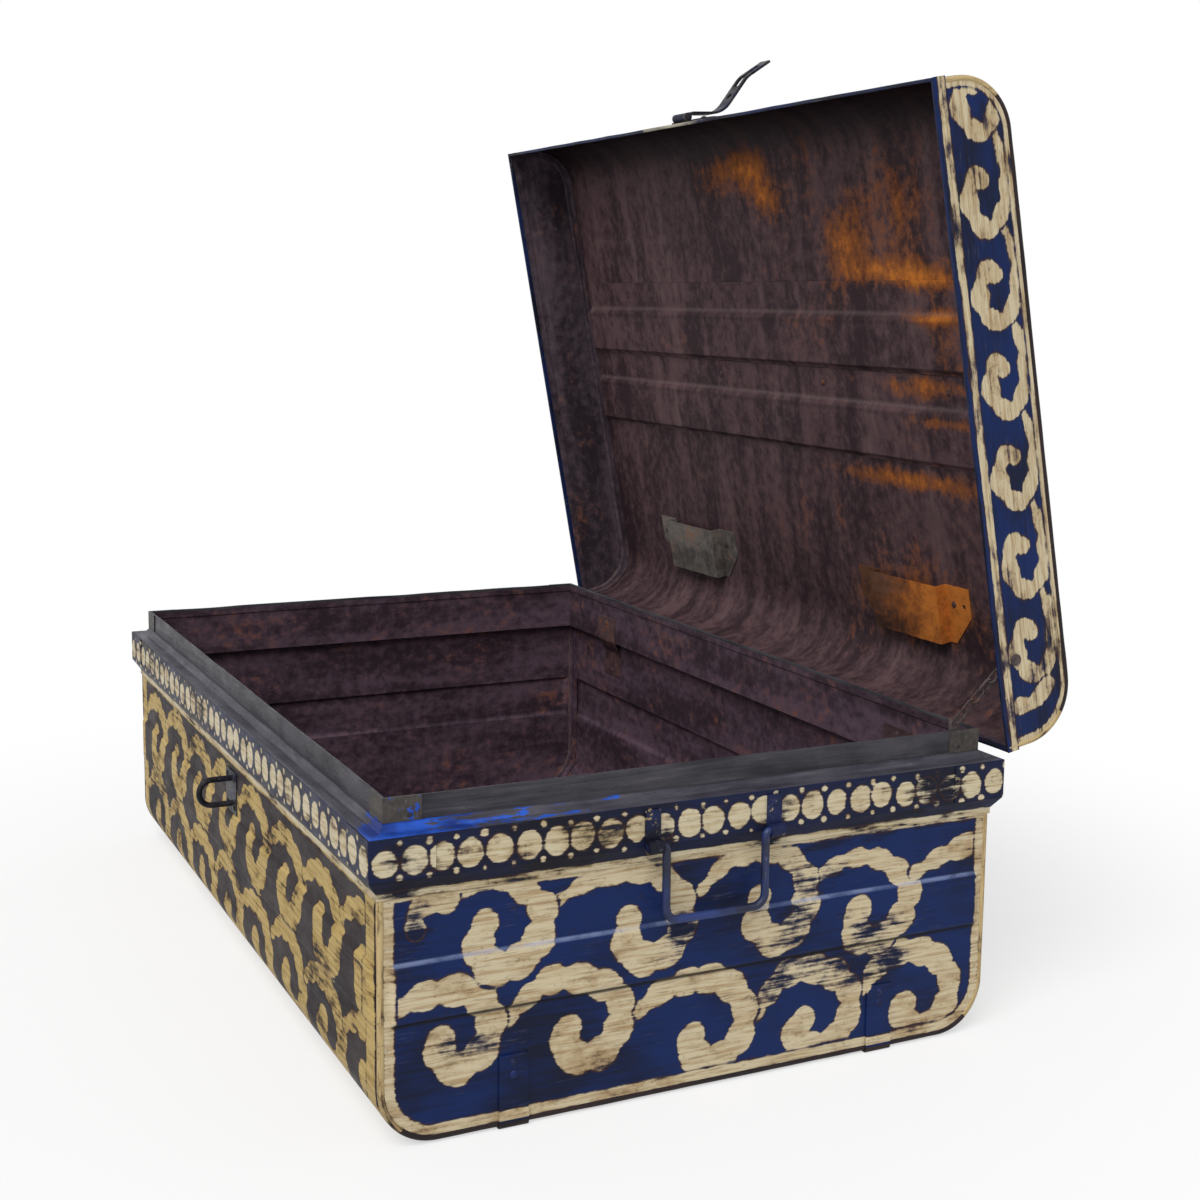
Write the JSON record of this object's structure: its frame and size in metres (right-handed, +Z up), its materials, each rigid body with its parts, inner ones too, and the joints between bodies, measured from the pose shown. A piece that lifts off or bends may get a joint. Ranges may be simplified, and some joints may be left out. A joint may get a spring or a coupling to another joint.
{
  "type": "sea chest",
  "caption": "Painted sheet-steel travelling trunk with a hinged lid, hasp and staple, wire end handles, runner straps and a stay chain",
  "frame": {"origin": "middle of the footprint, level with the undersides of the runner straps", "axes": "+X along the trunk towards the end with the stay chain, -Y out of the front with the staple, +Z up"},
  "size_m": [0.8746, 0.6533, 0.8632],
  "materials": {
    "painted_shell": "worn brush-painted navy with cream scrolls outside, rusted brown inside",
    "bare_steel": "unpainted sheet steel, rusted and darkened",
    "dark_iron": "dark worn iron with traces of blue paint"
  },
  "bodies": {
    "trunk": {"belt_back": "painted_shell", "belt_corner_back_left": "painted_shell", "belt_corner_back_right": "painted_shell", "belt_corner_front_left": "painted_shell", "belt_corner_front_right": "painted_shell", "belt_front": "painted_shell", "belt_left": "painted_shell", "belt_right": "painted_shell", "body_wrap": "painted_shell", "collar": "bare_steel", "collar_corner_back_left": "bare_steel", "collar_corner_back_right": "bare_steel", "collar_corner_front_left": "bare_steel", "collar_corner_front_right": "bare_steel", "end_panel_left": "painted_shell", "end_panel_right": "painted_shell", "handle_lug_left_back": "painted_shell", "handle_lug_left_front": "painted_shell", "handle_lug_right_back": "painted_shell", "handle_lug_right_front": "painted_shell", "handle_rivets": "painted_shell", "hinge_base_leaf_left": "painted_shell", "hinge_base_leaf_right": "painted_shell", "hinge_base_rivets": "painted_shell", "hinge_pin_left": "dark_iron", "hinge_pin_right": "dark_iron", "hinge_strap_left": "bare_steel", "hinge_strap_right": "bare_steel", "hinge_strap_rivets": "bare_steel", "runner_back": "painted_shell", "runner_front": "painted_shell", "runner_rivets": "painted_shell", "staple": "dark_iron", "staple_plate": "dark_iron", "staple_rivets": "dark_iron", "stay_chain": "dark_iron", "stay_lug": "bare_steel", "stay_rivet": "bare_steel"},
    "lid": {"hasp_pin": "dark_iron", "hasp_plate": "dark_iron", "hasp_rivets": "dark_iron", "hinge_lid_leaf_left": "painted_shell", "hinge_lid_leaf_right": "painted_shell", "hinge_lid_rivets": "painted_shell", "lid_batten_back": "bare_steel", "lid_batten_front": "bare_steel", "lid_batten_rivets": "bare_steel", "lid_bracket_left": "bare_steel", "lid_bracket_right": "bare_steel", "lid_bracket_rivets": "bare_steel", "lid_end_left": "painted_shell", "lid_end_right": "painted_shell", "lid_rim": "painted_shell", "lid_wrap": "painted_shell", "stay_eye": "dark_iron"},
    "hasp": {"hasp": "dark_iron"},
    "handle_left": {"handle_bail_left": "painted_shell"},
    "handle_right": {"handle_bail_right": "painted_shell"}
  },
  "joints": [
    {"name": "lid_hinge", "type": "hinge", "parent": "trunk", "child": "lid", "pos_m": [0, 0.2845, 0.24], "axis": [1, 0, 0], "range_deg": [0, 79.5], "deforming": ["stay_chain"]},
    {"name": "hasp_hinge", "type": "hinge", "parent": "lid", "child": "hasp", "pos_m": [0, 0.19162, 0.80148], "axis": [1, 0, 0], "range_deg": [0, 158]},
    {"name": "handle_left_hinge", "type": "hinge", "parent": "trunk", "child": "handle_left", "pos_m": [-0.43215, 0, 0.208], "axis": [0, 1, 0], "range_deg": [-5, 170]},
    {"name": "handle_right_hinge", "type": "hinge", "parent": "trunk", "child": "handle_right", "pos_m": [0.43215, 0, 0.208], "axis": [0, -1, 0], "range_deg": [-5, 170]}
  ]
}
